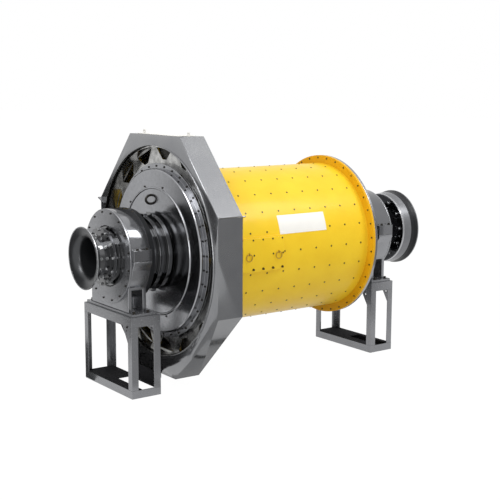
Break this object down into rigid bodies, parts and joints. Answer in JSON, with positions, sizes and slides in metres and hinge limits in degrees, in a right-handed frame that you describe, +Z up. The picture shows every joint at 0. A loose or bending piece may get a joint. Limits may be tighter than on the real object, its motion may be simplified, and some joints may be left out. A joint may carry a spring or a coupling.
{
  "type": "ball mill",
  "caption": "Ball mill: a flanged yellow drum with a girth gear in an eight-sided guard, turning in two trunnion bearings on open steel stands.",
  "frame": {"origin": "on the floor, under the middle of the machine's overall box", "axes": "+X along the mill axis from the feed end to the discharge end, +Y across, +Z up"},
  "size_m": [6.167, 3.398, 3.825],
  "materials": {
    "shell_paint": "gloss yellow enamel",
    "guard_paint": "gloss grey enamel",
    "stand_paint": "semi-gloss grey enamel",
    "casting_paint": "gloss grey enamel on a casting",
    "gear_steel": "cast web with machined teeth",
    "bush_bronze": "machined",
    "liner_iron": "as cast"
  },
  "bodies": {
    "frame": {"feed_stand_posts": "stand_paint", "feed_stand_head_frame": "stand_paint", "feed_stand_sill": "stand_paint", "feed_stand_gussets": "stand_paint", "feed_sole_plate": "stand_paint", "feed_bearing_pedestal": "casting_paint", "feed_bearing_cap": "casting_paint", "feed_bearing_cover": "casting_paint", "feed_bearing_seal": "casting_paint", "feed_bearing_bush": "bush_bronze", "discharge_stand_posts": "stand_paint", "discharge_stand_head_frame": "stand_paint", "discharge_stand_sill": "stand_paint", "discharge_stand_gussets": "stand_paint", "discharge_sole_plate": "stand_paint", "discharge_bearing_pedestal": "casting_paint", "discharge_bearing_cap": "casting_paint", "discharge_bearing_cover": "casting_paint", "discharge_bearing_seal": "casting_paint", "discharge_bearing_bush": "bush_bronze", "guard_hood": "guard_paint", "guard_casing": "guard_paint", "guard_split_rails": "guard_paint", "guard_top_cover": "guard_paint", "guard_lifting_lugs": "guard_paint", "guard_feet": "guard_paint"},
    "drum": {"drum_shell": "shell_paint", "drum_liner": "liner_iron", "feed_shell_flange": "shell_paint", "discharge_shell_flange": "shell_paint", "feed_head": "casting_paint", "discharge_head": "casting_paint", "feed_trunnion": "casting_paint", "discharge_trunnion": "casting_paint", "feed_trunnion_rings": "casting_paint", "discharge_trunnion_rings": "casting_paint", "girth_gear_upper_half": "gear_steel", "girth_gear_lower_half": "gear_steel", "feed_mouth": "casting_paint", "discharge_mouth": "casting_paint", "manhole_frame": "shell_paint", "manhole_cover": "shell_paint", "manhole_handles": "shell_paint", "head_lifting_eye": "casting_paint"}
  },
  "joints": [
    {"name": "drum_spin", "type": "hinge", "parent": "frame", "child": "drum", "pos_m": [-0.1475, 0, 2.011], "axis": [1, 0, 0], "continuous": true}
  ]
}
